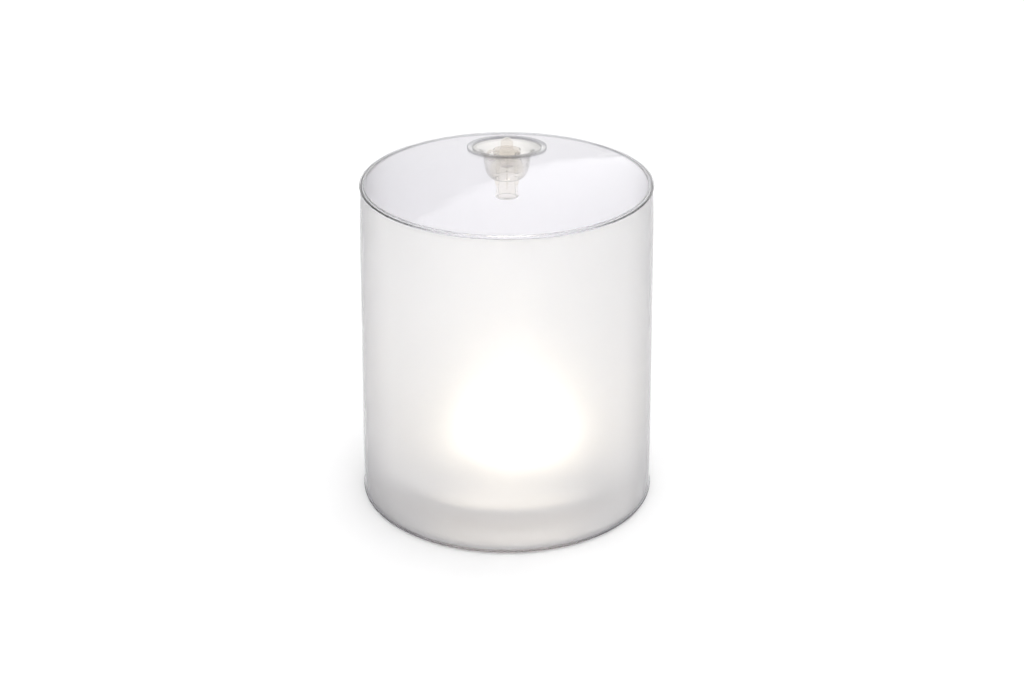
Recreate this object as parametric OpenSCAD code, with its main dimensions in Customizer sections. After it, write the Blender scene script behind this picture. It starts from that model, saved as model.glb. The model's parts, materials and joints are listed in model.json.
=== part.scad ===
// Inflatable solar lantern: a frosted film drum on a sealed light unit that
// holds the lamps, the battery and a downward-facing solar panel.
// Millimetres. +Z is up, and the origin is on the floor under the drum's axis.
// The front is -Y, and the inflation valve sits behind the axis, at +Y.

/* [Bag] */
// Outer radius of the bottom weld ring
base_ring_r = 63.5; // [60:0.5:70]
// Outer radius of the top weld ring, which air pressure draws in
top_ring_r = 61; // [58.5:0.5:62]
// Height of the top weld ring's lower face above the floor
bag_h = 141; // [110:1:180]
// Thickness of the films
film_t = 0.4; // [0.3:0.05:0.5]
// How far the wall swells between its two weld rings
wall_swell = 0.7; // [0:0.1:1]
// Rise of the top film from its edge to the middle
dome_h = 4.2; // [2:0.1:6]

/* [Valve] */
// Distance of the valve behind the drum's axis
valve_y = 33; // [30:0.5:35]
// Outer radius of the flange welded into the top film
valve_flange_r = 19; // [18:0.5:20]
// Radius of the stem's bore
valve_bore_r = 3.6; // [3.2:0.1:3.7]
// Depth of the stem's lower end below the top film
stem_depth = 22; // [19:0.5:22]
// Height of the plug's grip tab above the flange
tab_rise = 4; // [2:0.5:5]

/* [Light unit] */
// Outer radius of the light unit
unit_r = 58; // [57:0.5:59]
// Height of the light unit's top face above the floor
unit_top = 20.5; // [20:0.5:24]
// Height of the joint between tray and cover
parting_z = 15.9; // [15:0.1:16.5]
// Wall thickness of the tray and the cover
shell_t = 1.8; // [1.5:0.1:2]
// Radius of the opening for the lamps
lamp_r = 36; // [35:0.5:37]
// Rise of the domed lens over the lamps
lens_rise = 7; // [4:0.5:8]
// Number of lamps
lamp_count = 10; // [6:1:12]
// Radius of the circle of lamps
lamp_circle_r = 22; // [20:0.5:24]

/* [Solar panel] */
// Radius of the solar panel
panel_r = 42; // [40:0.5:42]
// Number of cell strips
strip_count = 6; // [4:1:8]

/* [Buttons] */
// Radius of the power button
power_r = 4.4; // [4:0.1:4.5]
// Radius of the charge level button
level_r = 2.8; // [2.4:0.1:3]
// Distance of the buttons from the drum's axis
button_circle_r = 48.6; // [48:0.1:49]

/* [Hidden] */
$fn = 96;

// Weld rings
ring_w = 2.4;
ring_h = 1;
base_ring_z = 0.8;
base_ring_in = base_ring_r - ring_w;
top_ring_in = top_ring_r - ring_w;
wall_inset = [0.8, 0.6];             // wall's outside in from the ring's outside, at the bottom and the top
wall_z0 = base_ring_z + ring_h;
wall_steps = 32;
swell_power = 10;                    // the wall swells close to each ring and is straight between

// Top film, a paraboloid that meets the ring's inner face
dome_edge_z = bag_h + 0.8;
dome_steps = 24;

// Valve frame: its origin is on the film and its axis is the film's normal there
valve_z = dome_edge_z + dome_h * (1 - pow(valve_y / top_ring_in, 2));
valve_tilt = atan(2 * dome_h * valve_y / pow(top_ring_in, 2));
flange_floor = -1;                   // underside of the flange
lip_r = 17.1;
lip_w = 2.4;
bead_w = 0.6;                        // each of the two round edges of the lip
bead_z = 0.5;
bell_r = lip_r - lip_w;
bell_t = 0.6;
mouth_z = -3.2;
stem_r = valve_bore_r + 1.1;
collar_r = 6.4;
collar_z = -13.2;
stem_lip_r = stem_r + 0.4;
stem_mouth_r = stem_r + 0.9;
rib_t = 0.9;
rib_count = 6;
flap_r = 4.4;
flap_t = 0.5;
flap_hinge_w = 3.2;
plug_head_r = 5.8;
plug_head_top = -0.9;
plug_clearance = 0.05;
plug_stem_len = 5.4;
tab_w = 5.4;
tab_t = 1.6;
strap_w = 3;
strap_t = 0.8;

// Light unit, from the floor up
unit_floor = film_t;
floor_t = 1.8;
floor_top = unit_floor + floor_t;
chamfer_z = 5;
chamfer_w = 3.5;
edge_r = 2;                          // rounding of the cover's top edge
skirt_bond = [6.4, 8.4];             // band of the unit's side that the skirt is bonded to
skirt_t = 0.35;
boss_circle_r = 50;
boss_r = 3.2;
screw_angles = [45, 135, 225, 315];
screw_grip_r = 1.05;                 // hole that the screw cuts its thread in
screw_free_r = 1.35;                 // hole that the screw passes through
screw_recess_r = 2.5;
seal_groove = [unit_r - 1.3, unit_r - 0.5];
seal_groove_h = 0.8;
lens_ledge_w = 1.8;
lens_t = 1.4;
lens_steps = 16;
lens_z = 18.4;
neck_z = 12.2;                       // lower end of the cover's neck round the reflector
neck_t = 1.6;
seal_t = 0.4;
board_t = 1.6;
lamp_board_z = 10.2;
lamp_board_r = [12, 33];
lamp_angle = 18;                     // angle of the first lamp
lamp_size = 5;
lamp_h = 1.7;
reflector_z = 12.4;
reflector_flat_r = 29.5;
reflector_rim_z = [16.4, 17.6];
reflector_t = 1;
lamp_screw_r = 29.8;
lamp_screw_angles = [60, 180, 300];

// Solar panel, from the floor up
panel_lip = 0.8;                     // height of the tray's lip under the panel
panel_z = unit_floor + panel_lip;
glass_t = 0.4;
ribbon_t = 0.15;
cell_t = 0.35;
backing_t = 1.4;
cells_r = panel_r - 2.4;
strip_gap = 0.6;
ribbon_w = 1.2;

// Electronics
board_z = 6.4;
board_y = [-53.5, -33.5];
board_half_x = 27;
board_edge_r = 55;
board_post = [23.5, -40.5];
board_post_r = 2.3;
board_grip_r = 0.9;
battery_size = [54, 36, 5.5];
battery_y = 6;
battery_z = 3.9;
battery_seam = [2, 4, 2.2];          // inset of its ends, depth and height
battery_seam_z = 1.6;
pad_size = [44, 22];
pad_y = -2;
button_gap = 0.3;                    // clearance around a button
plunger_gap = 0.08;
button_face_z = unit_floor + 0.4;
button_flange_z = floor_top + 0.15;
button_flange_t = 0.65;
switch_size = 6.2;
switch_z = 3.9;
plunger_r = 1.6;
power_angle = -90;
level_angle = -72;
light_angles = [-104, -109.5, -115];
light_pipe_r = 1.1;
socket_x = [-12, 0, 12];
socket_y = -36;
socket_size = [5.6, 4.5, 3.2];
light_size = [2, 1.3, 1];
lead_r = 0.55;
lead_pitch = 1.8;
lead_z = 9.5;

// Lead routes, each from its source to its socket on the control board
panel_route = [[-10, -25, 3.5], [-10, -25, 4.2], [-10, -25, 5.5], [-10.4, -27, 8.6],
    [-12, -32, 9.5], [-12, -34, 9.5], [-12, -36, 9.5]];
battery_route = [[0, -12, 6.6], [0, -13, 6.6], [0, -15, 6.6], [0, -22, 7.2],
    [0, -30, 9], [0, -33, 9.5], [0, -34.5, 9.5], [0, -36, 9.5]];
lamp_route = [[12, -24, 10.2], [12, -24, 9.8], [12, -24, 9.3], [12, -26.5, 8.2],
    [12, -31, 9.3], [12, -34, 9.5], [12, -36, 9.5]];

function lerp(a, b, u) = a + (b - a) * u;
function arc(c, r, a0, a1, n = 8) =
    [for (i = [0:n]) c + r * [cos(lerp(a0, a1, i / n)), sin(lerp(a0, a1, i / n))]];
function reversed(v) = [for (i = [len(v) - 1:-1:0]) v[i]];
function polar(r, a) = [r * cos(a), r * sin(a)];

// Point and direction on a cubic curve with control points p
function curve(p, t) =
    p[0] * pow(1 - t, 3) + p[1] * 3 * pow(1 - t, 2) * t + p[2] * 3 * (1 - t) * t * t + p[3] * pow(t, 3);
function curve_dir(p, t) =
    (p[1] - p[0]) * 3 * pow(1 - t, 2) + (p[2] - p[1]) * 6 * (1 - t) * t + (p[3] - p[2]) * 3 * t * t;

// Points beside a cubic curve, at distance d to its left
function beside(p, d, n = 10) = [for (i = [0:n])
    let(t = i / n, v = curve_dir(p, t)) curve(p, t) + d * [-v.y, v.x] / norm(v)];

// Outer radius of the wall at height z
function wall_r(z) =
    let(u = (z - wall_z0) / (bag_h - wall_z0))
    lerp(base_ring_r - wall_inset[0], top_ring_r - wall_inset[1], u)
    + wall_swell * (1 - pow(abs(2 * u - 1), swell_power));
function wall_z(i) = lerp(wall_z0, bag_h, (1 - cos(180 * i / wall_steps)) / 2);
function dome_z(r) = dome_edge_z + dome_h * (1 - pow(r / top_ring_in, 2));

module revolve(points) {
    rotate_extrude() polygon(points);
}

module valve_frame() {
    translate([0, valve_y, valve_z]) rotate([-valve_tilt, 0, 0]) children();
}

module at_polar(r, a) {
    translate(concat(polar(r, a), 0)) rotate([0, 0, a]) children();
}

// Closed ring of rectangular section
module band(r0, r1, z0, z1) {
    translate([0, 0, z0]) difference() {
        cylinder(r = r1, h = z1 - z0);
        translate([0, 0, -1]) cylinder(r = r0, h = z1 - z0 + 2);
    }
}

// Weld ring with a round outer edge
module weld_ring(r, z) {
    half = ring_h / 2;
    revolve(concat([[r - ring_w, z]], arc([r - half, z + half], half, -90, 90), [[r - ring_w, z + ring_h]]));
}

module bottom_film() {
    edge_z = base_ring_z + 0.2;
    color([0.93, 0.95, 0.97, 0.4]) revolve([[0, 0], [unit_r, 0], [base_ring_in, edge_z],
        [base_ring_in, edge_z + film_t], [unit_r - 0.1, film_t], [0, film_t]]);
}

module bottom_weld_ring() {
    color([0.7, 0.7, 0.72]) weld_ring(base_ring_r, base_ring_z);
}

// Skirt from the bottom weld ring to the side of the light unit, which closes the air chamber
module retaining_skirt() {
    top = base_ring_z + ring_h;
    color([0.9, 0.9, 0.92]) revolve([[base_ring_in, top - film_t], [base_ring_in, top],
        [unit_r + skirt_t, skirt_bond[0]], [unit_r + skirt_t, skirt_bond[1]],
        [unit_r, skirt_bond[1]], [unit_r, skirt_bond[0] - film_t]]);
}

module wall_film() {
    outside = [for (i = [0:wall_steps]) [wall_r(wall_z(i)), wall_z(i)]];
    inside = [for (i = [wall_steps:-1:0]) [wall_r(wall_z(i)) - film_t, wall_z(i)]];
    color([0.94, 0.95, 0.97, 0.8]) revolve(concat(outside, inside));
}

module top_weld_ring() {
    color([0.75, 0.75, 0.78]) weld_ring(top_ring_r, bag_h);
}

module top_film() {
    radii = [for (i = [0:dome_steps]) top_ring_in * i / dome_steps];
    color([0.92, 0.93, 0.98, 0.4]) difference() {
        revolve(concat([for (r = radii) [r, dome_z(r) - film_t]],
            [for (r = reversed(radii)) [r, dome_z(r)]]));
        valve_frame() translate([0, 0, -5]) cylinder(r = valve_flange_r, h = 10);
    }
}

// Flange welded into the top film, with a raised lip that has a round bead along each edge
module valve_flange() {
    half = bead_w / 2;
    color([0.9, 0.92, 0.94, 0.5]) valve_frame() revolve(concat(
        [[bell_r, flange_floor], [valve_flange_r, flange_floor], [valve_flange_r, -bead_z / 2],
        [lip_r, -bead_z / 2]],
        arc([lip_r - half, bead_z - half], half, 0, 180, 8),
        arc([bell_r + half, bead_z - half], half, 0, 180, 8)));
}

// Soft wall that turns inside out when the stem is pulled up
module valve_bell() {
    neck = [9.8, -5.5];
    shelf = [[bell_r, -0.5], [11, -0.5], [10, -2.4], neck];
    cup = [neck, [9.4, -8.5], [8.6, collar_z], [collar_r, collar_z]];
    half = bell_t / 2;
    color([0.9, 0.9, 0.9, 0.5]) valve_frame() revolve(concat(beside(shelf, half), beside(cup, half),
        reversed(beside(cup, -half)), reversed(beside(shelf, -half))));
}

module stem_rib(points) {
    rotate([90, 0, 0]) translate([0, 0, -rib_t / 2]) linear_extrude(rib_t) polygon(points);
}

module valve_stem() {
    collar = [collar_z - bell_t, collar_z + bell_t];
    inside = valve_bore_r + 0.5;
    color([0.93, 0.92, 0.88, 0.6]) valve_frame() {
        revolve([[valve_bore_r, -stem_depth], [stem_lip_r, -stem_depth], [stem_lip_r, -stem_depth + 1],
            [stem_r, -stem_depth + 1.6], [stem_r, collar[0]], [collar_r, collar[0]], [collar_r, collar[1]],
            [stem_r, collar[1]], [stem_r, mouth_z - 1.6], [stem_mouth_r, mouth_z - 1],
            [stem_mouth_r, mouth_z], [valve_bore_r, mouth_z]]);
        for (i = [0:rib_count - 1]) rotate([0, 0, 360 * (i + 0.5) / rib_count]) {
            stem_rib([[inside, collar[0]], [collar_r - 0.3, collar[0]], [stem_r + 0.2, collar[0] - 5],
                [inside, collar[0] - 5]]);
            stem_rib([[inside, collar[1]], [collar_r + 0.8, collar[1] + 0.6], [collar_r + 0.6, collar[1] + 2],
                [stem_r + 0.4, mouth_z - 1.8], [inside, mouth_z - 1.8]]);
        }
    }
}

// One-way flap that air pressure shuts against the stem's lower end
module check_flap() {
    color([0.9, 0.9, 0.92, 0.7]) valve_frame() translate([0, 0, -stem_depth - flap_t]) {
        cylinder(r = flap_r, h = flap_t);
        translate([-flap_hinge_w / 2, 0, 0]) cube([flap_hinge_w, flap_r, flap_t]);
    }
}

module valve_plug() {
    r = valve_bore_r - plug_clearance;
    tip = mouth_z - plug_stem_len;
    color([0.95, 0.9, 0.8, 0.8]) valve_frame() {
        revolve(concat([[0, tip], [r - 0.6, tip], [r, tip + 0.8], [r, mouth_z], [plug_head_r, mouth_z]],
            arc([plug_head_r - 0.5, plug_head_top - 0.5], 0.5, 0, 90, 5), [[0, plug_head_top]]));
        translate([0, tab_t / 2, plug_head_top - 0.2]) rotate([90, 0, 0]) linear_extrude(tab_t) {
            rise = tab_rise - plug_head_top + 0.2 - tab_w / 2;
            translate([-tab_w / 2, 0]) square([tab_w, rise]);
            translate([0, rise]) circle(r = tab_w / 2);
        }
    }
}

// Strap from the stem to the plug's head, as a loop beside the stem
module plug_tether() {
    mid = [-6.6, -3.9];
    r = 2.3;
    color([0.93, 0.9, 0.82, 0.8]) valve_frame() difference() {
        rotate([90, 0, 0]) translate([0, 0, -strap_w / 2]) linear_extrude(strap_w) polygon(concat(
            [[-5.4, mid.y + r]], arc(mid, r, 90, 270, 16), [[-4.4, mid.y - r], [-4.4, mid.y - r + strap_t]],
            arc(mid, r - strap_t, 270, 90, 16), [[-5.4, mid.y + r - strap_t]]));
        translate([0, 0, mouth_z]) cylinder(r = plug_head_r, h = 3);
        translate([0, 0, -10]) cylinder(r = stem_r, h = 6);
    }
}

// Hole for a button, at its place
module button_hole(r, a) {
    at_polar(button_circle_r, a) translate([0, 0, -1]) cylinder(r = r + button_gap, h = 6);
}

module base_tray() {
    lip_r = panel_r - 1.5;
    color([0.9, 0.9, 0.9]) difference() {
        union() {
            revolve([[lip_r, unit_floor], [unit_r - chamfer_w, unit_floor], [unit_r, chamfer_z],
                [unit_r, parting_z], [unit_r - shell_t, parting_z], [unit_r - shell_t, chamfer_z + 0.6],
                [unit_r - shell_t - 2.6, floor_top], [panel_r + 0.2, floor_top],
                [panel_r + 0.2, panel_z], [lip_r, panel_z]]);
            for (a = screw_angles) at_polar(boss_circle_r, a)
                translate([0, 0, floor_top - 0.5]) cylinder(r = boss_r, h = parting_z - floor_top + 0.5);
            for (side = [-1, 1]) translate([side * board_post.x, board_post.y, floor_top - 0.5])
                cylinder(r = board_post_r, h = board_z - floor_top + 0.5);
        }
        button_hole(power_r, power_angle);
        button_hole(level_r, level_angle);
        for (a = light_angles) at_polar(button_circle_r, a)
            translate([0, 0, -1]) cylinder(r = light_pipe_r, h = 6);
        for (a = screw_angles) at_polar(boss_circle_r, a) {
            translate([0, 0, -1]) cylinder(r = screw_free_r, h = parting_z + 2);
            translate([0, 0, -1]) cylinder(r = screw_recess_r, h = floor_top + 1.4);
        }
        for (side = [-1, 1]) translate([side * board_post.x, board_post.y, 3])
            cylinder(r = board_grip_r, h = 5);
        band(seal_groove[0], seal_groove[1], parting_z - seal_groove_h, parting_z + 1);
    }
}

module base_cover() {
    top_in = unit_top - shell_t;
    ledge_r = lamp_r + lens_ledge_w;
    ledge_z = lens_z - seal_t;
    color([0.95, 0.95, 0.95]) difference() {
        union() {
            revolve(concat([[unit_r - shell_t, parting_z], [unit_r, parting_z]],
                arc([unit_r - edge_r, unit_top - edge_r], edge_r, 0, 90),
                arc([ledge_r + 0.6, unit_top - 0.6], 0.6, 90, 180, 4),
                [[ledge_r, ledge_z], [lamp_r, ledge_z], [lamp_r, neck_z], [lamp_r + neck_t, neck_z],
                [lamp_r + neck_t, ledge_z - 1], [ledge_r + 1.4, top_in], [unit_r - shell_t, top_in]]));
            for (a = screw_angles) at_polar(boss_circle_r, a)
                translate([0, 0, parting_z]) cylinder(r = boss_r, h = top_in - parting_z + 0.5);
        }
        for (a = screw_angles) at_polar(boss_circle_r, a)
            translate([0, 0, parting_z - 1]) cylinder(r = screw_grip_r, h = 3.2);
    }
}

module housing_seal() {
    color([0.25, 0.25, 0.27]) band(seal_groove[0], seal_groove[1], parting_z - seal_groove_h, parting_z);
}

// Pan-head screw that points up, with its head's upper face at z
module screw(z, length, shank_r, head_r, head_h) {
    translate([0, 0, z - head_h]) difference() {
        union() {
            cylinder(r = head_r, h = head_h);
            cylinder(r = shank_r, h = head_h + length);
        }
        for (a = [0, 90]) rotate([0, 0, a]) translate([-head_r * 0.6, -0.25, -0.1])
            cube([head_r * 1.2, 0.5, 0.6]);
    }
}

module housing_screws() {
    color([0.7, 0.7, 0.72]) for (a = screw_angles) at_polar(boss_circle_r, a)
        screw(floor_top + 0.4, 15.2, 1.1, 2.3, 1.5);
}

module lens_seal() {
    color([0.85, 0.85, 0.85]) band(lamp_r + 0.3, lamp_r + lens_ledge_w - 0.2, lens_z - seal_t, lens_z);
}

// Domed diffuser with a flat rim that sits in the cover
module lamp_lens() {
    r = lamp_r + lens_ledge_w - 0.1;
    dome_r = lamp_r - 0.6;
    radii = [for (i = [0:lens_steps]) dome_r * i / lens_steps];
    rise = lens_rise - lens_t;
    inside = [for (x = radii) [x, lens_z + rise * (1 - pow(x / dome_r, 2))]];
    outside = [for (x = reversed(radii)) [x, lens_z + lens_t + rise * (1 - pow(x / dome_r, 2))]];
    color([1, 0.98, 0.92, 0.8]) revolve(concat(inside, [[r, lens_z], [r, lens_z + lens_t]], outside));
}

module at_each_lamp() {
    for (i = [0:lamp_count - 1]) at_polar(lamp_circle_r, 360 * i / lamp_count + lamp_angle) children();
}

// White dish around the lamps, with a window for each lamp and bosses for the lamp board's screws
module reflector() {
    edge = lamp_r - 0.05;
    color([0.97, 0.97, 0.97]) difference() {
        union() {
            revolve([[0, reflector_z], [reflector_flat_r, reflector_z], [edge, reflector_rim_z[0]],
                [edge, reflector_rim_z[1]], [reflector_flat_r - 0.4, reflector_z + reflector_t],
                [0, reflector_z + reflector_t]]);
            for (a = lamp_screw_angles) at_polar(lamp_screw_r, a) translate([0, 0, lamp_board_z + board_t])
                cylinder(r = 2.2, h = 1.4);
        }
        at_each_lamp() translate([0, 0, 13]) cube([lamp_size + 0.6, lamp_size + 0.6, 4], center = true);
        for (a = lamp_screw_angles) at_polar(lamp_screw_r, a) translate([0, 0, 10])
            cylinder(r = 0.8, h = 2.8);
    }
}

module lamp_board() {
    color([0.93, 0.94, 0.93]) difference() {
        band(lamp_board_r[0], lamp_board_r[1], lamp_board_z, lamp_board_z + board_t);
        for (a = lamp_screw_angles) at_polar(lamp_screw_r, a) translate([0, 0, 9]) cylinder(r = 1.1, h = 4);
    }
}

module lamps() {
    color([1, 0.92, 0.6]) at_each_lamp() translate([-lamp_size / 2, -lamp_size / 2, lamp_board_z + board_t])
        cube([lamp_size, lamp_size, lamp_h]);
}

module lamp_board_screws() {
    color([0.7, 0.7, 0.72]) for (a = lamp_screw_angles) at_polar(lamp_screw_r, a)
        screw(lamp_board_z, 2.4, 0.9, 1.7, 0.75);
}

module solar_glass() {
    color([0.5, 0.55, 0.6, 0.4]) translate([0, 0, panel_z]) cylinder(r = panel_r, h = glass_t);
}

function strip_w() = (2 * cells_r - strip_gap * (strip_count - 1)) / strip_count;
function strip_x(i) = -cells_r + i * (strip_w() + strip_gap);

// Ribbons that join the strips, one along the middle of each strip
module cell_ribbons() {
    z = panel_z + glass_t;
    color([0.8, 0.8, 0.82]) for (i = [0:strip_count - 1]) {
        x = strip_x(i) + strip_w() / 2;
        half = sqrt(pow(cells_r - 1, 2) - pow(abs(x) + ribbon_w, 2));
        translate([x - ribbon_w / 2, -half, z]) cube([ribbon_w, 2 * half, ribbon_t]);
    }
}

module solar_cells() {
    z = panel_z + glass_t + ribbon_t;
    color([0.06, 0.07, 0.14]) for (i = [0:strip_count - 1]) intersection() {
        translate([0, 0, z]) cylinder(r = cells_r, h = cell_t);
        translate([strip_x(i), -cells_r, z]) cube([strip_w(), 2 * cells_r, cell_t]);
    }
}

module solar_backing() {
    z = panel_z + glass_t + ribbon_t + cell_t;
    color([0.12, 0.13, 0.15]) translate([0, 0, z]) cylinder(r = panel_r, h = backing_t);
}

// Flat pouch cell with a folded top seam at its front end
module battery() {
    size = battery_size;
    color([0.75, 0.76, 0.78]) translate([-size.x / 2, battery_y - size.y / 2, battery_z]) {
        translate([0, battery_seam.y, 0]) cube([size.x, size.y - battery_seam.y, size.z]);
        translate([battery_seam.x, 0, battery_seam_z])
            cube([size.x - 2 * battery_seam.x, battery_seam.y, battery_seam.z]);
    }
}

module battery_pad() {
    z = panel_z + glass_t + ribbon_t + cell_t + backing_t;
    color([0.3, 0.3, 0.3]) translate([-pad_size.x / 2, pad_y, z])
        cube([pad_size.x, pad_size.y, battery_z - z]);
}

module control_board() {
    color([0.05, 0.3, 0.16]) difference() {
        intersection() {
            translate([0, 0, board_z]) cylinder(r = board_edge_r, h = board_t);
            translate([-board_half_x, board_y[0], board_z])
                cube([2 * board_half_x, board_y[1] - board_y[0], board_t]);
        }
        for (side = [-1, 1]) translate([side * board_post.x, board_post.y, board_z - 1])
            cylinder(r = 1.1, h = 4);
    }
}

// Chip, coil and capacitors on the control board: [x, y, width, depth, height]
module board_parts() {
    parts = [[-14, -46, 7, 7, 3], [10, -46, 5, 5, 1], [-2, -45, 3.2, 1.6, 1.2], [-2, -48, 3.2, 1.6, 1.2],
        [18, -44, 2, 1.2, 0.8], [3, -50, 2, 1.2, 0.8]];
    color([0.12, 0.12, 0.13]) for (p = parts)
        translate([p[0] - p[2] / 2, p[1] - p[3] / 2, board_z + board_t]) cube([p[2], p[3], p[4]]);
}

module board_sockets() {
    color([0.92, 0.91, 0.86]) for (x = socket_x)
        translate([x - socket_size.x / 2, socket_y - socket_size.y, board_z + board_t]) cube(socket_size);
}

module board_screws() {
    top = board_z + board_t;
    color([0.7, 0.7, 0.72]) for (side = [-1, 1]) translate([side * board_post.x, board_post.y, top])
        rotate([180, 0, 0]) screw(0, 4.4, 1, 1.9, 1.1);
}

// Switch body under the control board, with a blind bore for its plunger
module switch_body(a) {
    color([0.13, 0.13, 0.14]) at_polar(button_circle_r, a) difference() {
        translate([-switch_size / 2, -switch_size / 2, switch_z])
            cube([switch_size, switch_size, board_z - switch_z]);
        translate([0, 0, switch_z - 1]) cylinder(r = plunger_r + plunger_gap, h = 3);
    }
}

module switch_plunger(a) {
    bottom = button_flange_z + button_flange_t;
    color([0.35, 0.35, 0.36]) at_polar(button_circle_r, a) translate([0, 0, bottom])
        cylinder(r = plunger_r, h = switch_z + 1.2 - bottom);
}

// Button with a dished face and a flange that keeps it in the tray
module button(r, a) {
    color([0.75, 0.76, 0.78]) at_polar(button_circle_r, a) revolve([[0, button_face_z + 0.3],
        [r - 0.9, button_face_z + 0.3], [r - 0.6, button_face_z], [r - 0.2, button_face_z],
        [r, button_face_z + 0.2], [r, button_flange_z], [r + 0.8, button_flange_z],
        [r + 0.8, button_flange_z + button_flange_t], [0, button_flange_z + button_flange_t]]);
}

module power_switch() { switch_body(power_angle); }
module power_plunger() { switch_plunger(power_angle); }
module power_button() { button(power_r, power_angle); }
module level_switch() { switch_body(level_angle); }
module level_plunger() { switch_plunger(level_angle); }
module level_button() { button(level_r, level_angle); }

module level_lights() {
    color([0.9, 0.2, 0.15]) for (a = light_angles) at_polar(button_circle_r, a)
        translate([-light_size.x / 2, -light_size.y / 2, board_z - light_size.z]) cube(light_size);
}

module light_pipes() {
    color([0.92, 0.93, 0.95, 0.6]) for (a = light_angles) at_polar(button_circle_r, a)
        translate([0, 0, unit_floor + 0.3]) cylinder(r = light_pipe_r, h = board_z - 1.4 - unit_floor);
}

// Smooth line through a route's points, s steps between each pair
function route_point(p, i, t) =
    let(n = len(p) - 1, a = p[max(i - 1, 0)], b = p[i], c = p[min(i + 1, n)], d = p[min(i + 2, n)])
    0.5 * (2 * b + (c - a) * t + (2 * a - 5 * b + 4 * c - d) * t * t + (3 * b - a - 3 * c + d) * t * t * t);
function smooth(p, s = 4) =
    concat([for (i = [0:len(p) - 2]) for (k = [0:s - 1]) route_point(p, i, k / s)], [p[len(p) - 1]]);

// Round lead along a line of points that stays in a plane of constant x, or close to it
module lead(line, r, sides = 8) {
    n = len(line);
    rings = [for (i = [0:n - 1])
        let(run = line[min(i + 1, n - 1)] - line[max(i - 1, 0)], dir = run / norm(run),
            up = cross([1, 0, 0], dir), v = up / norm(up), u = cross(v, dir))
        for (k = [0:sides - 1]) line[i] + r * (cos(360 * k / sides) * u + sin(360 * k / sides) * v)];
    caps = [[for (k = [0:sides - 1]) k], [for (k = [sides - 1:-1:0]) (n - 1) * sides + k]];
    walls = [for (i = [0:n - 2]) for (k = [0:sides - 1])
        let(a = i * sides + k, b = i * sides + (k + 1) % sides) [a, a + sides, b + sides, b]];
    polyhedron(points = rings, faces = concat(caps, walls));
}

module lead_pair(route) {
    for (side = [-1, 1]) translate([side * lead_pitch / 2, 0, 0]) lead(smooth(route), lead_r);
}

module battery_leads() { color([0.75, 0.1, 0.08]) lead_pair(battery_route); }
module panel_leads() { color([0.1, 0.1, 0.1]) lead_pair(panel_route); }
module lamp_leads() { color([0.9, 0.9, 0.88]) lead_pair(lamp_route); }

bottom_film();
bottom_weld_ring();
retaining_skirt();
wall_film();
top_weld_ring();
top_film();
valve_flange();
valve_bell();
valve_stem();
check_flap();
valve_plug();
plug_tether();
base_tray();
base_cover();
housing_seal();
housing_screws();
lamp_lens();
lens_seal();
reflector();
lamp_board();
lamps();
lamp_board_screws();
solar_glass();
cell_ribbons();
solar_cells();
solar_backing();
battery();
battery_pad();
control_board();
board_parts();
board_sockets();
board_screws();
power_switch();
power_plunger();
power_button();
level_switch();
level_plunger();
level_button();
level_lights();
light_pipes();
battery_leads();
panel_leads();
lamp_leads();
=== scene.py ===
import json
import math

import bpy
from mathutils import Matrix, Vector, noise


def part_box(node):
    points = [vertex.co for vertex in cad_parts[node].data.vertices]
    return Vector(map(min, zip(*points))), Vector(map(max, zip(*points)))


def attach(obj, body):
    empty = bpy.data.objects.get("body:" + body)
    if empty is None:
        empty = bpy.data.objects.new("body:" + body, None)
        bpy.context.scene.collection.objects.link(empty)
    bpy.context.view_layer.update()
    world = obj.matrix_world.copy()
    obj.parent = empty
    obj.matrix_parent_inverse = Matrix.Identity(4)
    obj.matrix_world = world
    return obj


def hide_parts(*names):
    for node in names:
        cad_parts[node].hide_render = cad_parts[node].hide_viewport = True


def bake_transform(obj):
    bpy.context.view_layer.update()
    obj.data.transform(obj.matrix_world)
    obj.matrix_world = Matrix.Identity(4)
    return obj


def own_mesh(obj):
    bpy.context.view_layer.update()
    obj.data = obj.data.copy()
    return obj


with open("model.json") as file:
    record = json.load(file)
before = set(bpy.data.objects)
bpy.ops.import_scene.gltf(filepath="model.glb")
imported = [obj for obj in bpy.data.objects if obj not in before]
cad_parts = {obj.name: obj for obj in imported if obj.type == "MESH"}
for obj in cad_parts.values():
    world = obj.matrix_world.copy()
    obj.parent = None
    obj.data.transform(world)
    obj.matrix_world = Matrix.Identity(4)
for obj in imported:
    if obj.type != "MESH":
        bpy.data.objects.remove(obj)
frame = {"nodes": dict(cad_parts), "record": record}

MM = 0.001
scene = bpy.context.scene
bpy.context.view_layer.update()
nodes = frame["nodes"]
joint = {j["name"]: j for j in frame["record"]["behaviour"]["joints"]}


# ---------------------------------------------------------------- camera and light

def width_of(node):
    low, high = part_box(node)
    return high.x - low.x


ring_r = width_of("bottom_weld_ring") / 2
top_ring_r = width_of("top_weld_ring") / 2

cam_data = bpy.data.cameras.new("camera")
cam_data.sensor_width = 36
cam_data.lens = 67.6
cam = bpy.data.objects.new("camera", cam_data)
scene.collection.objects.link(cam)
scene.camera = cam
PITCH = math.radians(25.91)
DISTANCE = 13.04 * ring_r
LOOK_AT = Vector((0.0022, 0, 1.07 * ring_r))
cam.location = LOOK_AT + DISTANCE * Vector((0, -math.cos(PITCH), math.sin(PITCH)))
cam.rotation_euler = (math.pi / 2 - PITCH, 0, 0)

scene.view_settings.view_transform = "Standard"
scene.view_settings.look = "None"


# ---------------------------------------------------------------- node helpers

def new_material(name):
    mat = bpy.data.materials.new(name)
    mat.use_nodes = True
    nt = mat.node_tree
    nt.nodes.clear()
    return mat, nt, nt.nodes.new("ShaderNodeOutputMaterial")


def feed(nt, socket, value):
    """Links a socket to another one, or sets its value."""
    if isinstance(value, bpy.types.NodeSocket):
        nt.links.new(value, socket)
    else:
        socket.default_value = value


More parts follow.
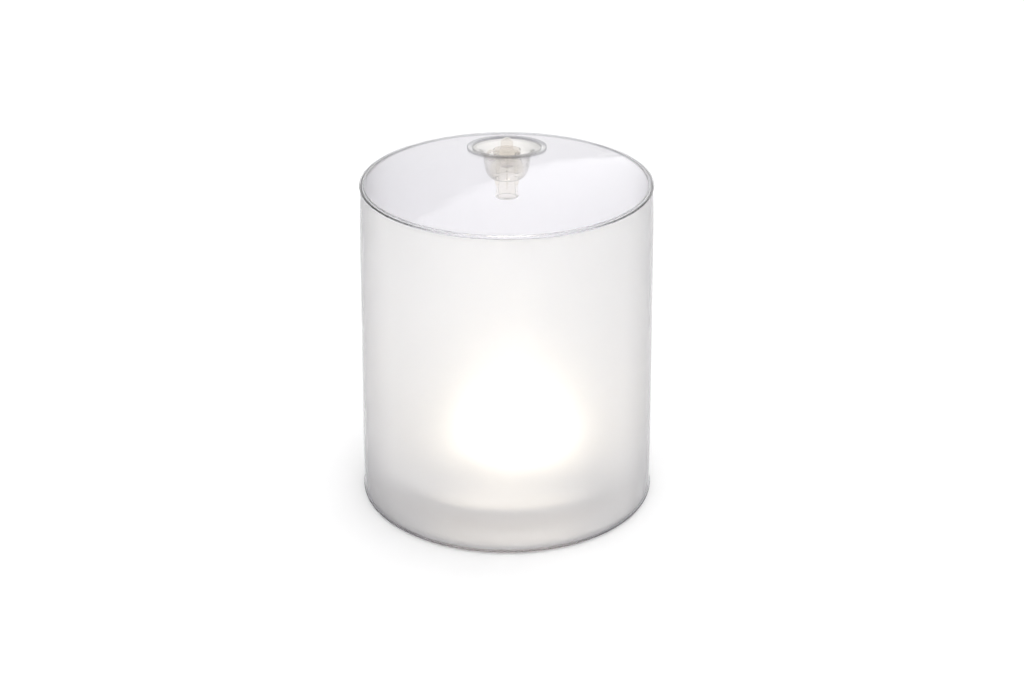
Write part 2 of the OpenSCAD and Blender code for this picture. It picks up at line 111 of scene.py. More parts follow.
def add(nt, kind, **values):
    """A node. A key is a property, a socket's name with _ for each space, or i and a socket's number."""
    n = nt.nodes.new("ShaderNode" + kind)
    for key, value in values.items():
        if hasattr(n, key):
            setattr(n, key, value)
        elif key[0] == "i" and key[1:].isdigit():
            feed(nt, n.inputs[int(key[1:])], value)
        else:
            feed(nt, n.inputs[key.replace("_", " ")], value)
    return n


def maths(nt, op, a, b=0.0, clamp=False):
    n = add(nt, "Math", operation=op, use_clamp=clamp)
    feed(nt, n.inputs[0], a)
    feed(nt, n.inputs[1], b)
    return n.outputs[0]


def mapped(nt, value, low, high, to_low=0.0, to_high=1.0):
    """A value from one range in another, held within it."""
    n = add(nt, "MapRange", Value=value, From_Min=low, From_Max=high, To_Min=to_low, To_Max=to_high)
    return n.outputs["Result"]


def place(nt):
    return add(nt, "TexCoord").outputs["Object"]


def coordinates(nt):
    return add(nt, "SeparateXYZ", Vector=place(nt)).outputs


def radius(nt, x, y):
    return maths(nt, "SQRT", maths(nt, "ADD", maths(nt, "MULTIPLY", x, x), maths(nt, "MULTIPLY", y, y)))


def speckle(nt, size, detail=2.0):
    """Noise from 0 to 1 with features of this size in millimetres."""
    return add(nt, "TexNoise", Vector=place(nt), Scale=1 / (size * MM), Detail=detail).outputs["Fac"]


def between(nt, fac, low, high):
    """Noise spread over a range."""
    return mapped(nt, fac, 0.3, 0.7, low, high)


def blended(nt, fac, a, b):
    """A colour between two, each a socket or a tuple."""
    n = add(nt, "Mix", data_type="RGBA", i0=fac)
    feed(nt, n.inputs[6], a if isinstance(a, bpy.types.NodeSocket) else (*a, 1))
    n.inputs[7].default_value = (*b, 1)
    return n.outputs[2]


def bumped(nt, height, depth):
    return add(nt, "Bump", Height=height, Distance=depth * MM, Strength=1.0).outputs["Normal"]


def moulded(name, colour, rough, tone=0.04, grain=0.5, depth=0.02, **sockets):
    """Opaque moulded or coated surface with slight unevenness in colour, gloss and height."""
    mat, nt, out = new_material(name)
    coarse = speckle(nt, 9 * grain, 3)
    fine = speckle(nt, grain, 2)
    shader = add(nt, "BsdfPrincipled",
                 Base_Color=blended(nt, between(nt, coarse, 0, 1), [c * (1 - tone) for c in colour],
                                  [min(1, c * (1 + tone)) for c in colour]),
                 Roughness=between(nt, coarse, rough * 0.85, min(1, rough * 1.15)),
                 Normal=bumped(nt, fine, depth), **sockets)
    nt.links.new(shader.outputs[0], out.inputs["Surface"])
    return mat


def aslant(nt, power):
    """From 0 where the surface faces the viewer to 1 at its outline."""
    return maths(nt, "POWER", add(nt, "LayerWeight", Blend=0.5).outputs["Facing"], power)


def shine(nt, least=0.04, power=5):
    """Share of light that a smooth surface reflects, the same from both sides."""
    return maths(nt, "ADD", maths(nt, "MULTIPLY", aslant(nt, power), 1 - least), least)


# Painted dark lines along the two beads of the valve lip: where they start, where they are full, and how dark
BEAD_FAINT, BEAD_FULL = 0.4 * MM, 0.15 * MM
BEAD_SHADE = 0.32


def clear_film(name, tint, rough, wave=6, depth=0.05, outline=None, power=3, beads=None):
    """Thin clear film: what is behind it shows, and it shines by angle. It can take a darker tint at its
    outline, partly for its longer path through the film and partly as painted shade, and painted dark lines
    on two round beads given by their centre's y, the radius midway between them and half the distance between
    them."""
    mat, nt, out = new_material(name)
    normal = bumped(nt, speckle(nt, wave, 3), depth)
    colour = blended(nt, speckle(nt, 25, 2), [c * 0.99 for c in tint], tint)
    # Painted shade towards the outline
    if outline:
        shade = aslant(nt, power)
        # Painted dark lines along the beads
        if beads:
            centre, middle, half = beads
            x, y, _ = coordinates(nt)
            r = radius(nt, x, maths(nt, "SUBTRACT", y, centre))
            away = maths(nt, "ABSOLUTE", maths(nt, "SUBTRACT", r, middle))
            line = mapped(nt, away, half - BEAD_FAINT, half - BEAD_FULL, 0, BEAD_SHADE)
            shade = maths(nt, "ADD", shade, line, clamp=True)
        colour = blended(nt, shade, colour, outline)
    see = add(nt, "BsdfTransparent", Color=colour)
    gloss = add(nt, "BsdfGlossy", Color=(1, 1, 1, 1), Normal=normal,
                Roughness=between(nt, speckle(nt, 4, 3), rough * 0.7, rough * 1.4))
    mix = add(nt, "MixShader", i0=shine(nt), i1=see.outputs[0], i2=gloss.outputs[0])
    nt.links.new(mix.outputs[0], out.inputs["Surface"])
    return mat


def clear_solid(name, tint, rough, absorb=None, density=0.0, depth=0.02, ior=1.47, clarity=1.0):
    """Thick clear soft plastic that bends light."""
    mat, nt, out = new_material(name)
    shader = add(nt, "BsdfPrincipled", IOR=ior, Transmission_Weight=clarity,
                 Base_Color=blended(nt, speckle(nt, 5, 3), [c * 0.97 for c in tint], tint),
                 Roughness=between(nt, speckle(nt, 2.5, 3), rough * 0.7, rough * 1.3),
                 Normal=bumped(nt, speckle(nt, 3, 3), depth))
    nt.links.new(shader.outputs[0], out.inputs["Surface"])
    if absorb:
        volume = add(nt, "VolumeAbsorption", Color=(*absorb, 1), Density=density)
        nt.links.new(volume.outputs[0], out.inputs["Volume"])
    return mat


# Painted shade on the frosted film near the floor: none above FOOT_HIGH, FOOT_SHADE below FOOT_LOW
FOOT_HIGH, FOOT_LOW = 30 * MM, 8 * MM
FOOT_SHADE = 0.06


def frosted(name):
    """Hazy film: it blurs what is behind it and spreads light. It darkens where it is seen edge-on, partly
    for its longer path through the film and partly as painted shade, and it has painted shade towards the
    floor, more so on the left."""
    mat, nt, out = new_material(name)
    cloud = speckle(nt, 30, 3)
    normal = bumped(nt, speckle(nt, 0.5, 2), 0.006)
    # Painted shade: darker towards the outline, and towards the floor, more on the left
    edge = maths(nt, "POWER", mapped(nt, aslant(nt, 1), 0.45, 1.0), 1.5)
    x, _, z = coordinates(nt)
    leftward = maths(nt, "ADD", maths(nt, "MULTIPLY", x, -0.8 / (60 * MM)), 1.0)
    painted_floor_shade = maths(nt, "MULTIPLY", mapped(nt, z, FOOT_HIGH, FOOT_LOW, 0, FOOT_SHADE), leftward)
    edge = maths(nt, "ADD", edge, painted_floor_shade, clamp=True)

    def tint(low, high):
        return blended(nt, edge, blended(nt, cloud, low, high), (0.02, 0.02, 0.06))

    body = add(nt, "BsdfPrincipled", IOR=1.45, Normal=normal, Transmission_Weight=1,
               Base_Color=tint((0.965, 0.962, 0.966), (0.99, 0.988, 0.99)),
               Roughness=between(nt, cloud, 0.47, 0.52))
    milk = (0.945, 0.94, 0.945), (0.975, 0.97, 0.975)
    haze = add(nt, "BsdfTranslucent", Color=tint(*milk), Normal=normal)
    face = add(nt, "BsdfDiffuse", Color=tint(*milk), Normal=normal)
    gloss = add(nt, "BsdfGlossy", Color=(1, 1, 1, 1), Normal=normal, Roughness=between(nt, cloud, 0.2, 0.26))
    scatter = add(nt, "MixShader", Fac=0.4, i1=haze.outputs[0], i2=face.outputs[0])
    film = add(nt, "MixShader", Fac=0.22, i1=body.outputs[0], i2=scatter.outputs[0])
    mix = add(nt, "MixShader", i0=shine(nt, 0.045, 8), i1=film.outputs[0], i2=gloss.outputs[0])
    nt.links.new(mix.outputs[0], out.inputs["Surface"])
    return mat


# ---------------------------------------------------------------- mesh helpers

def make(name, verts, faces, mat, body=None, replaces=(), slot=None, sharp=40):
    """A piece from points in metres."""
    me = bpy.data.meshes.new(name)
    me.from_pydata([tuple(v) for v in verts], [], faces)
    me.validate()
    me.shade_smooth()
    me.set_sharp_from_angle(angle=math.radians(sharp))
    me.materials.append(mat)
    ob = bpy.data.objects.new(name, me)
    scene.collection.objects.link(ob)
    if body:
        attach(ob, body)
    if replaces:
        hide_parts(*replaces)
    return ob


def rounded(points, r, steps=5):
    """Closed profile with its corners rounded; r is one radius, or one for each point."""
    out, n = [], len(points)
    for i, p in enumerate(points):
        p = Vector(p)
        corner = r[i] if isinstance(r, list) else r
        if corner == 0:
            out.append(p)
            continue
        a, b = Vector(points[i - 1]), Vector(points[(i + 1) % n])
        reach = min(corner, (a - p).length * 0.49, (b - p).length * 0.49)
        start, end = p + (a - p).normalized() * reach, p + (b - p).normalized() * reach
        for k in range(steps + 1):
            t = k / steps
            out.append(start * (1 - t) ** 2 + p * 2 * t * (1 - t) + end * t * t)
    return out


def cubic(p, steps):
    """Points on a curve with four control points."""
    p = [Vector(q) for q in p]
    return [p[0] * (1 - t) ** 3 + p[1] * 3 * t * (1 - t) ** 2 + p[2] * 3 * t * t * (1 - t) + p[3] * t ** 3
            for t in (k / steps for k in range(steps + 1))]


def sheet_of(line, thick):
    """Closed profile of a thin wall along a line of points."""
    left, right = [], []
    for i, p in enumerate(line):
        d = (line[min(i + 1, len(line) - 1)] - line[max(i - 1, 0)]).normalized()
        side = Vector((-d.y, d.x)) * thick / 2
        left.append(p + side)
        right.append(p - side)
    return left + right[::-1]


def area_of(outline):
    """Twice the area inside an outline, above 0 where it turns to the left."""
    return sum(a[0] * b[1] - b[0] * a[1] for a, b in zip(outline, outline[1:] + outline[:1]))


def lathe(profile, turns=192, shape=None):
    """Points and faces of a solid of revolution, in millimetres. shape(point, angle) may move a point."""
    verts, rings = [], []
    for r, z in profile:
        if abs(r) < 1e-6:
            v = Vector((0, 0, z))
            verts.append(shape(v, 0.0) if shape else v)
            rings.append([len(verts) - 1] * turns)
            continue
        first = len(verts)
        for k in range(turns):
            a = 2 * math.pi * k / turns
            v = Vector((r * math.cos(a), r * math.sin(a), z))
            verts.append(shape(v, a) if shape else v)
        rings.append(list(range(first, first + turns)))
    faces = []
    for i, lower in enumerate(rings):
        upper = rings[(i + 1) % len(rings)]
        if lower[0] == lower[1] and upper[0] == upper[1]:
            continue
        for k in range(turns):
            j = (k + 1) % turns
            quad = [lower[k], lower[j], upper[j], upper[k]]
            faces.append([v for n, v in enumerate(quad) if v not in quad[:n]])
    return verts, faces


def moved(verts, move):
    """Points in metres from points in millimetres in another frame."""
    return [move @ (v * MM) for v in verts]


def turned(name, profile, mat, move=Matrix(), shape=None, turns=192, **more):
    """A piece that is a solid of revolution."""
    verts, faces = lathe(profile, turns, shape)
    if area_of(profile) < 0:
        faces = [f[::-1] for f in faces]
    return make(name, moved(verts, move), faces, mat, **more)


def joined(parts):
    """Several (points, faces) as one."""
    verts, faces = [], []
    for v, f in parts:
        faces += [[i + len(verts) for i in face] for face in f]
        verts += v
    return verts, faces


def extruded(outline, low, high):
    """Solid between two planes of constant z, from an outline that turns to the left."""
    n = len(outline)
    verts = [Vector((p[0], p[1], z)) for z in (low, high) for p in outline]
    faces = [list(range(n))[::-1], list(range(n, 2 * n))]
    faces += [[k, (k + 1) % n, n + (k + 1) % n, n + k] for k in range(n)]
    return verts, faces


def upright(outline, thick):
    """Plate of this thickness in the x-z plane, from an outline there."""
    verts, faces = extruded(outline if area_of(outline) > 0 else outline[::-1], -thick / 2, thick / 2)
    return [Vector((v.x, v.z, v.y)) for v in verts], [f[::-1] for f in faces]


# ---------------------------------------------------------------- materials

LIP_IN, LIP_OUT = 14.7, 17.1
LAMPS = 10
LAMP_CIRCLE = 22
UNIT_TOP = 20.5
WARM = (1.0, 0.9, 0.72, 1)

frost = frosted("frosted_film")
clear = clear_film("clear_film", (0.915, 0.911, 0.933), 0.035)
weld = clear_solid("weld", (0.95, 0.95, 0.97), 0.14, absorb=(0.5, 0.49, 0.53), density=110)
flap_mat = clear_solid("valve_soft", (0.975, 0.97, 0.96), 0.06, absorb=(0.58, 0.56, 0.52), density=90,
                       ior=1.1)
# Painted shade at the bellows' outline
bell_mat = clear_film("valve_bell", (0.972, 0.967, 0.957), 0.08, outline=(0.3, 0.29, 0.28), power=4.5)
flange_low, flange_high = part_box("valve_flange")
beads = (flange_low.y + flange_high.y) / 2, (LIP_IN + LIP_OUT) / 2 * MM, (LIP_OUT - LIP_IN) / 2 * MM
# Painted shade at the lip's outline and painted dark lines on its beads
lip_mat = clear_film("valve_lip", (0.97, 0.97, 0.975), 0.08, outline=(0.05, 0.05, 0.07), power=7, beads=beads)
# Several thick clear layers one behind another would come out black with vinyl's own index
stem_mat = clear_solid("valve_stem", (0.97, 0.955, 0.92), 0.1, absorb=(0.68, 0.64, 0.56), density=20,
                       ior=1.05)
plug_mat = clear_solid("plug", (0.95, 0.92, 0.89), 0.12, absorb=(0.62, 0.575, 0.52), density=34, ior=1.06,
                       clarity=0.95)
white_mat = moulded("white_plastic", (0.88, 0.88, 0.87), 0.3)
rubber_mat = moulded("dark_rubber", (0.03, 0.03, 0.032), 0.75, grain=0.25)
pale_rubber = moulded("pale_rubber", (0.6, 0.6, 0.58), 0.7, grain=0.25)
steel = moulded("screw_steel", (0.62, 0.62, 0.64), 0.32, Metallic=1.0)
board_white = moulded("board_white", (0.82, 0.83, 0.82), 0.35, grain=0.3, depth=0.01)
board_green = moulded("board_green", (0.015, 0.13, 0.06), 0.3, grain=0.3, depth=0.01)
cell_mat = moulded("cell", (0.012, 0.018, 0.055), 0.25, tone=0.25, grain=0.8, depth=0.004)
ribbon_mat = moulded("ribbon", (0.7, 0.7, 0.72), 0.35, Metallic=1.0, depth=0.01)
back_mat = moulded("panel_back", (0.035, 0.04, 0.045), 0.55, grain=0.4)
foil = moulded("battery", (0.6, 0.61, 0.63), 0.38, Metallic=0.9, grain=1.2, depth=0.06)
foam = moulded("pad", (0.05, 0.05, 0.05), 0.9, grain=0.4, depth=0.1)
chip_mat = moulded("chip", (0.02, 0.02, 0.022), 0.5, grain=0.2, depth=0.01)
switch_mat = moulded("switch", (0.04, 0.04, 0.042), 0.5, grain=0.25)
button_mat = moulded("button", (0.4, 0.41, 0.43), 0.6, grain=0.3)
light_mat = moulded("indicator", (0.75, 0.12, 0.08), 0.2, depth=0.005)
red = moulded("lead_red", (0.45, 0.02, 0.015), 0.4, depth=0.01)
black = moulded("lead_black", (0.015, 0.015, 0.015), 0.4, depth=0.01)
pale = moulded("lead_white", (0.75, 0.75, 0.72), 0.4, depth=0.01)
pipe_mat = clear_solid("light_pipe", (0.95, 0.95, 0.97), 0.05)
panel_clear = clear_solid("panel_glass", (0.96, 0.97, 0.99), 0.06)


def painted_glow_shell(name, low, high, coat, levels):
    """Pale shell with painted light: a glow painted on it, mostly at the front. The levels are (height,
    strength).
    """
    mat, nt, out = new_material(name)
    x, y, z = coordinates(nt)
    aside = maths(nt, "MULTIPLY", maths(nt, "ABSOLUTE", x), 0.45)
    forward = maths(nt, "SUBTRACT", maths(nt, "MULTIPLY", y, -1.0), aside)
    # The painted glow is strongest on the side facing -y
    front = mapped(nt, forward, 28 * MM, 46 * MM, 0.1, 1.0)
    ramp = add(nt, "ValToRGB", Fac=maths(nt, "DIVIDE", z, UNIT_TOP * MM))
    stops = ramp.color_ramp.elements
    while len(stops) < len(levels):
        stops.new(0.5)
    for stop, (height, strength) in zip(stops, levels):
        stop.position = height / UNIT_TOP
        stop.color = (strength, strength, strength, 1)
    body = add(nt, "BsdfPrincipled", Base_Color=blended(nt, speckle(nt, 4, 3), low, high),
               Roughness=between(nt, speckle(nt, 4, 3), 0.35, 0.42),
               Normal=bumped(nt, speckle(nt, 0.5), 0.008),
               Coat_Weight=coat, Coat_Roughness=0.42, Coat_IOR=2.0,
               Emission_Color=WARM, Emission_Strength=maths(nt, "MULTIPLY", ramp.outputs["Color"], front))
    nt.links.new(body.outputs[0], out.inputs["Surface"])
    return mat


# Painted light: the cover gets a faint painted glow and a bright painted band at its top edge; the housing
# and the skirt get a painted glow that is strongest just above the floor
cover_mat = painted_glow_shell("cover", (0.61, 0.595, 0.585), (0.66, 0.645, 0.635), 1.0,
                          [(0, 0), (15.9, 0.04), (18.2, 0.03), (19.6, 0.85), (20.3, 0.55)])
tray_mat = painted_glow_shell("housing", (0.685, 0.655, 0.637), (0.715, 0.682, 0.663), 0.0,
                         [(0, 0), (1, 0), (3, 0.3), (10, 0.16), (15.9, 0.05)])
skirt_mat = painted_glow_shell("skirt_film", (0.88, 0.86, 0.845), (0.92, 0.9, 0.885), 0.0,
                          [(0, 0), (2.2, 0), (4, 0.28), (8.4, 0.15)])


def lit_lens(name, power):
    """Opal lens, brightest over the lamps, and a little brighter to the right."""
    mat, nt, out = new_material(name)
    x, y, _ = coordinates(nt)
    r = radius(nt, maths(nt, "SUBTRACT", x, 3 * MM), maths(nt, "SUBTRACT", y, 5 * MM))
    angle = maths(nt, "SUBTRACT", maths(nt, "ARCTAN2", y, x), math.radians(18))
    spokes = maths(nt, "COSINE", maths(nt, "MULTIPLY", angle, LAMPS))
    spokes = maths(nt, "ADD", maths(nt, "MULTIPLY", spokes, 0.45), 0.55)
    away = maths(nt, "ABSOLUTE", maths(nt, "SUBTRACT", r, (LAMP_CIRCLE - 7.5) * MM))
    near = maths(nt, "SUBTRACT", 1.0, maths(nt, "DIVIDE", away, 10 * MM), clamp=True)
    near = maths(nt, "POWER", near, 1.5)
    rightward = maths(nt, "ADD", maths(nt, "MULTIPLY", x, 0.4 / (LAMP_CIRCLE * MM)), 1.0)
    near = maths(nt, "MULTIPLY", near, rightward)
    pattern = maths(nt, "ADD", maths(nt, "MULTIPLY", near, spokes), 0.015)
    body = add(nt, "BsdfPrincipled",
               Base_Color=blended(nt, speckle(nt, 3), (0.72, 0.71, 0.68), (0.78, 0.77, 0.74)),
               Roughness=between(nt, speckle(nt, 1), 0.3, 0.4),
               Emission_Color=WARM, Emission_Strength=maths(nt, "MULTIPLY", pattern, power))
    nt.links.new(body.outputs[0], out.inputs["Surface"])
    return mat


lens_mat = lit_lens("lens", 20.0)
lamp_mat = moulded("lamp", (0.95, 0.8, 0.3), 0.3, Emission_Color=WARM, Emission_Strength=3.0)


# ---------------------------------------------------------------- bag

FILM_T = 0.4
RING_W = 2.4
WALL_SWELL = 0.7
low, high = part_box("wall_film")
wall_z0, wall_z1 = low.z / MM, high.z / MM
bottom_r, top_r = ring_r / MM, top_ring_r / MM


def wall_radius(z):
    """Outer radius of the wall, a little inside each weld ring and swollen between them."""
    u = (z - wall_z0) / (wall_z1 - wall_z0)
    return (bottom_r - 0.8) * (1 - u) + (top_r - 0.6) * u + WALL_SWELL * (1 - abs(2 * u - 1) ** 10)


def puckers(a, seed, count=46):
    """Uneven ripples round a weld, from -1 to 1."""
    p = Vector((math.cos(a) * 3.1, math.sin(a) * 3.1, seed))
    return 0.6 * math.sin(count * a + 2.2 * noise.noise(p)) * (0.55 + 0.45 * noise.noise(p * 2.3)) \
        + 0.4 * noise.noise(p * 3.7)


def wall_shape(v, a):
    """Moves a point of the wall for the ripples at its welds and its broad unevenness."""
    top, bottom = wall_z1 - v.z, v.z - wall_z0
    near_top = 0.10 * math.exp(-top / 5) * min(1, top / 1.5)
    near_bottom = 0.08 * math.exp(-bottom / 5) * min(1, bottom / 1.5)
    broad = 0.10 * noise.noise(Vector((v.x, v.y, v.z)) * 0.022) * min(1, top / 12, bottom / 12)
    push = near_top * puckers(a, 1.5) + near_bottom * puckers(a, 7.5, 38) + broad
    r = math.hypot(v.x, v.y)
    return Vector((v.x * (1 + push / r), v.y * (1 + push / r), v.z))


steps = 84
heights = [wall_z0 + (wall_z1 - wall_z0) * (1 - math.cos(math.pi * k / steps)) / 2 for k in range(steps + 1)]
outside = [(wall_radius(z), z) for z in heights]
inside = [(wall_radius(z) - FILM_T, z) for z in heights[::-1]]
wall = turned("wall", outside + inside, frost, shape=wall_shape, turns=256, body="light_unit",
              replaces=["wall_film"], slot="frosted_film")
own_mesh(wall)

# Valve's own frame: its origin is on the top film and its axis is the joint's, placed by the flap's hinge
FLAP_R = 4.4
STEM_END = -22
axis = Vector(joint["valve_pop"]["axis"])
turn = Matrix.Rotation(-math.atan2(axis.y, axis.z), 4, "X")
hinge = Vector((0, FLAP_R, STEM_END)) * MM
VALVE = Matrix.Translation(Vector(joint["check_flap"]["pos_m"]) - turn @ hinge) @ turn

# Top film: a shallow dome with a hole for the valve
HOLE_R = 16.6
dome_edge_z = wall_z1 + 0.8
dome_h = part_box("top_film")[1].z / MM - dome_edge_z
dome_r = top_r - RING_W


def domed(x, y):
    """Height of the film's upper face, with small creases near its weld."""
    edge = dome_r - math.hypot(x, y)
    crease = 0.12 * math.exp(-edge / 4) * min(1, edge / 1.2) * puckers(math.atan2(y, x), 3.5, 52)
    wave = 0.05 * noise.noise(Vector((x, y, 4)) * 0.05) * min(1, edge / 8)
    return dome_edge_z + dome_h * (1 - (x * x + y * y) / dome_r ** 2) + crease + wave


hole = VALVE.translation / MM
turns, rings = 224, 40
verts, faces = [], []
for depth in (0.0, FILM_T):
    for i in range(rings + 1):
        t = (i / rings) ** 0.85
        for k in range(turns):
            a = 2 * math.pi * k / turns
            d = Vector((math.cos(a), math.sin(a)))
            inner = Vector((hole.x, hole.y)) + d * HOLE_R
            along = -hole.y * d.y + math.sqrt((hole.y * d.y) ** 2 - hole.y ** 2 + dome_r ** 2)
            outer = Vector((hole.x, hole.y)) + d * along
            p = inner.lerp(outer, t)
            verts.append(Vector((p.x, p.y, domed(p.x, p.y) - depth)) * MM)
count = (rings + 1) * turns
for layer in (0, 1):
    for i in range(rings):
        near, far = layer * count + i * turns, layer * count + (i + 1) * turns
        for k in range(turns):
            j = (k + 1) % turns
            quad = [near + k, far + k, far + j, near + j]
            faces.append(quad if layer == 0 else quad[::-1])
for i in (0, rings):
    upper, lower = i * turns, count + i * turns
    for k in range(turns):
        j = (k + 1) % turns
        quad = [upper + k, upper + j, lower + j, lower + k]
        faces.append(quad if i == 0 else quad[::-1])
make("top_sheet", verts, faces, clear, body="top", replaces=["top_film"], slot="clear_film")


def ring_profile(r, z):
    """Section of a weld: a flat flange of melted film, with the bead squeezed out along its inner edge."""
    inner = r - RING_W
    bead = inner + 0.75
    return rounded([(inner, z), (r - 0.2, z), (r, z + 0.25), (r, z + 0.5), (r - 0.2, z + 0.7),
                    (bead, z + 0.65), (bead, z + 1), (inner, z + 1)],
                   [0, 0.2, 0.2, 0.2, 0.2, 0.15, 0.3, 0.2], 4)


def ring_shape(seed):
    """Uneven outer edge of a weld ring."""
    def shape(v, a):
        r = math.hypot(v.x, v.y)
        push = 0.06 * puckers(a, seed, 60) * (0 if r < top_r - 1.2 else 1)
        return Vector((v.x * (1 + push / r), v.y * (1 + push / r), v.z))
    return shape


for name, node, r, seed, body in (("top_ring", "top_weld_ring", top_r, 11, "top"),
                                  ("bottom_ring", "bottom_weld_ring", bottom_r, 17, "light_unit")):
    profile = ring_profile(r - 0.05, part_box(node)[0].z / MM)
    turned(name, profile, weld, shape=ring_shape(seed), turns=256, body=body, replaces=[node], slot="weld")

foot_r = bottom_r - RING_W
bottom = [(0, 0), (57, 0), (58.5, 0.1), (foot_r, 1), (foot_r, 1.4), (58.4, 0.5), (57, FILM_T), (0, FILM_T)]
turned("bottom_sheet", bottom, clear, body="light_unit", replaces=["bottom_film"], slot="clear_film")
unit_r = width_of("base_cover") / 2 / MM
skirt_r = unit_r + 0.35
skirt = [(foot_r, 1.4), (foot_r, 1.8), (skirt_r, 6.4), (skirt_r, 8.4), (unit_r, 8.4), (unit_r, 6)]
turned("skirt", skirt, skirt_mat, body="light_unit", replaces=["retaining_skirt"], slot="skirt_film")


# ---------------------------------------------------------------- valve

lip = rounded([(LIP_IN, -0.6), (LIP_OUT, -0.6), (LIP_OUT, 0.5), (LIP_OUT - 0.6, 0.5), (LIP_OUT - 1, 0.1),
               (LIP_IN + 1, 0.1), (LIP_IN + 0.6, 0.5), (LIP_IN, 0.5)], [0.2] + [0.3] * 7)
turned("valve_lip", lip, lip_mat, VALVE, body="top", replaces=["valve_flange"], slot="valve_soft")

COLLAR_R, COLLAR_Z = 6.4, -13.2
shelf = cubic([(LIP_IN, -0.5), (11, -0.5), (10, -2.4), (9.8, -5.5)], 16)
cup = cubic([(9.8, -5.5), (9.4, -8.5), (8.6, COLLAR_Z), (COLLAR_R, COLLAR_Z)], 16)
bell = turned("valve_bellows", sheet_of(shelf[:-1] + cup, 0.6), bell_mat, VALVE, turns=128,
              replaces=["valve_bell"], slot="valve_soft")
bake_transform(bell)

BORE, STEM = 3.6, 4.7
COLLAR_LOW, COLLAR_HIGH = COLLAR_Z - 0.6, COLLAR_Z + 0.6
MOUTH_Z = -3.2
RIB_T = 0.9
RIB_IN = 4.1
stem = rounded([(BORE, STEM_END), (STEM + 0.4, STEM_END), (STEM + 0.4, STEM_END + 1), (STEM, STEM_END + 1.6),
                (STEM, COLLAR_LOW), (COLLAR_R, COLLAR_LOW), (COLLAR_R, COLLAR_HIGH), (STEM, COLLAR_HIGH),
                (STEM, MOUTH_Z - 1.6), (STEM + 0.9, MOUTH_Z - 1), (STEM + 0.9, MOUTH_Z), (BORE, MOUTH_Z)],
               [0.2, 0.25, 0.25, 0.2, 0.5, 0.2, 0.2, 0.5, 0.3, 0.3, 0.2, 0.2], 3)
parts = [lathe(stem, 96)]
for k in range(6):
    spin = Matrix.Rotation(math.radians(60 * k + 30), 4, "Z")
    for outline in ([(RIB_IN, COLLAR_LOW), (RIB_IN, -17.5), (4.9, -17.5), (6.1, COLLAR_LOW)],
                    [(RIB_IN, COLLAR_HIGH), (7.8, -12.2), (8.2, -9.5), (6.0, -4.8), (RIB_IN, -4.8)]):
        verts, faces = upright(rounded(outline if area_of(outline) > 0 else outline[::-1], 0.25, 3), RIB_T)
        parts.append(([spin @ v for v in verts], faces))
verts, faces = joined(parts)
make("valve_tube", moved(verts, VALVE), faces, stem_mat, body="valve", replaces=["valve_stem"],
     slot="valve_stem", sharp=35)

flap = rounded([(0, STEM_END - 0.5), (FLAP_R, STEM_END - 0.5), (FLAP_R, STEM_END), (0, STEM_END)],
               [0, 0.15, 0.15, 0], 3)
turned("valve_flap", flap, flap_mat, VALVE, turns=72, body="flap", replaces=["check_flap"],
       slot="valve_soft")

HEAD_R, HEAD_TOP = 5.8, -0.9
PLUG_R, PLUG_END = 3.55, -8.6
TAB_HALF, TAB_T = 2.7, 1.6
TAB_BEND = 1.3
STRAP_W, STRAP_T = 3.0, 0.8
BEND_X, BEND_Z, BEND_R = -6.6, -3.9, 1.9
head = rounded([(0, PLUG_END), (2.9, PLUG_END), (PLUG_R, PLUG_END + 0.8), (PLUG_R, MOUTH_Z),
                (HEAD_R, MOUTH_Z), (HEAD_R, HEAD_TOP), (5.0, HEAD_TOP), (4.6, -1.3), (3.2, -1.3),
                (2.8, HEAD_TOP), (0, HEAD_TOP)],
               [0, 0.2, 0.3, 0.1, 0.3, 0.5, 0.3, 0.2, 0.2, 0.3, 0], 4)
tab = [(-TAB_HALF, -1.1), (TAB_HALF, -1.1), (TAB_HALF, TAB_BEND)]
tab += [(TAB_HALF * math.cos(t), TAB_BEND + TAB_HALF * math.sin(t))
        for t in (math.pi * k / 16 for k in range(1, 16))]
tab += [(-TAB_HALF, TAB_BEND)]
verts, faces = joined([lathe(head, 96), upright(tab, TAB_T)])
make("plug", moved(verts, VALVE), faces, plug_mat, body="plug", replaces=["valve_plug"], slot="plug")

# Strap from the plug's head round a bend to the stem
path = [(-HEAD_R + 0.1, -2.0), (BEND_X, -2.0)]
path += [(BEND_X + BEND_R * math.cos(t), BEND_Z + BEND_R * math.sin(t))
         for t in (math.pi / 2 + math.pi * k / 16 for k in range(1, 16))]
path += [(BEND_X, BEND_Z - BEND_R), (-STEM - 0.05, BEND_Z - BEND_R)]
verts, faces = upright(sheet_of([Vector(p) for p in path], STRAP_T), STRAP_W)
tether = make("tether", moved(verts, VALVE), faces, plug_mat, replaces=["plug_tether"], slot="plug")
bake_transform(tether)


# ---------------------------------------------------------------- light unit

paint = {
    "base_tray": tray_mat, "base_cover": cover_mat, "housing_seal": rubber_mat, "housing_screws": steel,
    "lamp_lens": lens_mat, "lens_seal": pale_rubber, "reflector": white_mat, "lamp_board": board_white,
    "lamps": lamp_mat, "lamp_board_screws": steel, "solar_glass": panel_clear, "cell_ribbons": ribbon_mat,
    "solar_cells": cell_mat, "solar_backing": back_mat, "battery": foil, "battery_pad": foam,
    "control_board": board_green, "board_parts": chip_mat, "board_sockets": white_mat, "board_screws": steel,
    "power_switch": switch_mat, "power_plunger": switch_mat, "power_button": button_mat,
    "level_switch": switch_mat, "level_plunger": switch_mat, "level_button": button_mat,
    "level_lights": light_mat, "light_pipes": pipe_mat,
    "battery_leads": red, "panel_leads": black, "lamp_leads": pale}
for node, mat in paint.items():
    ob = nodes[node]
    ob.data.materials.clear()
    ob.data.materials.append(mat)


# ---------------------------------------------------------------- stage

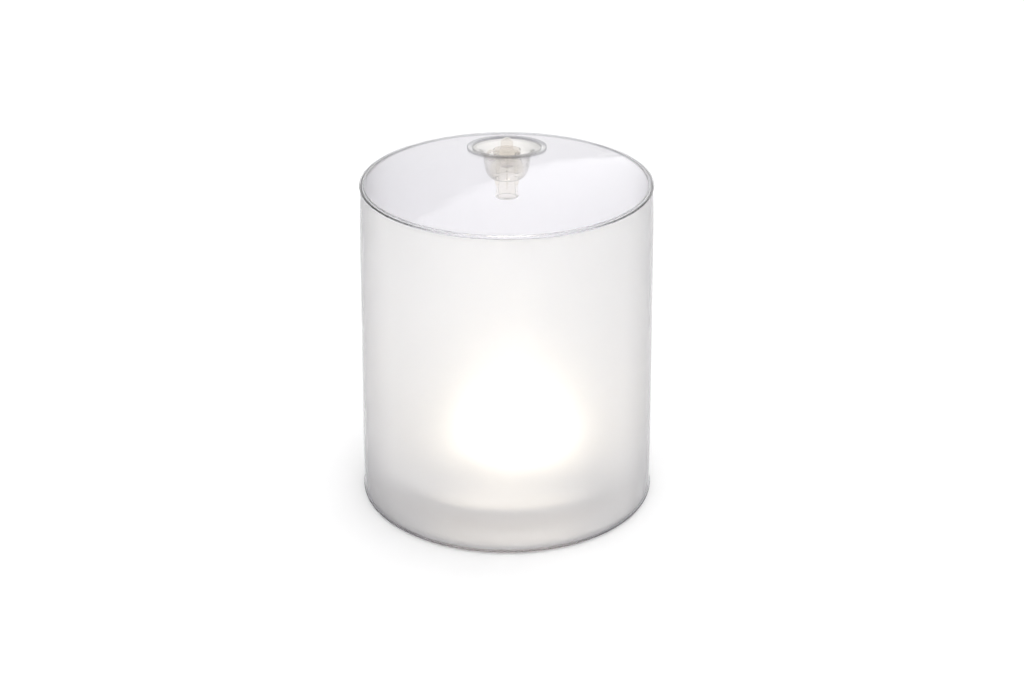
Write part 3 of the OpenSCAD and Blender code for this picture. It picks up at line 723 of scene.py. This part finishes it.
def floor_material():
    mat, nt, out = new_material("floor")
    colour = blended(nt, speckle(nt, 30, 2), (0.92, 0.92, 0.92), (0.94, 0.94, 0.94))
    shader = add(nt, "BsdfDiffuse", Color=colour)
    nt.links.new(shader.outputs[0], out.inputs["Surface"])
    return mat


floor = make("floor", [(-6, -6, 0), (6, -6, 0), (6, 6, 0), (-6, 6, 0)], [[0, 1, 2, 3]], floor_material())

world = bpy.data.worlds.new("world")
scene.world = world
world.use_nodes = True
wn = world.node_tree
wn.nodes.clear()
seen = add(wn, "Background", Color=(1, 1, 1, 1), Strength=1.3)
# The films reflect a darker panel high up behind the lantern, with one straight slanting edge
dx, dy, dz = add(wn, "SeparateXYZ", Vector=add(wn, "TexCoord").outputs["Generated"]).outputs
SIDE_X, SIDE_Y, SIDE_Z, SIDE_AT = -0.845, 0.151, -0.513, 0.065
slant = maths(wn, "ADD", maths(wn, "MULTIPLY", dx, SIDE_X), maths(wn, "MULTIPLY", dy, SIDE_Y))
slant = maths(wn, "ADD", slant, maths(wn, "MULTIPLY", dz, SIDE_Z))
panel = maths(wn, "MULTIPLY", maths(wn, "ADD", slant, SIDE_AT), 40, clamp=True)
panel = maths(wn, "MULTIPLY", panel, maths(wn, "MULTIPLY", dy, 3, clamp=True))
panel = maths(wn, "MULTIPLY", panel, maths(wn, "MULTIPLY", dz, 30, clamp=True))
# The light falls off to both sides
LIGHT, PANEL_DARK, FALL_OFF = 1.53, 0.52, 0.8
strength = maths(wn, "SUBTRACT", LIGHT, maths(wn, "MULTIPLY", panel, PANEL_DARK))
strength = maths(wn, "SUBTRACT", strength, maths(wn, "MULTIPLY", maths(wn, "MULTIPLY", dx, dx), FALL_OFF))
light = add(wn, "Background", Color=(1, 1, 1, 1), Strength=strength)
to_camera = add(wn, "LightPath").outputs["Is Camera Ray"]
mix = add(wn, "MixShader", i0=to_camera, i1=light.outputs[0], i2=seen.outputs[0])
wn.links.new(mix.outputs[0], add(wn, "OutputWorld").inputs["Surface"])
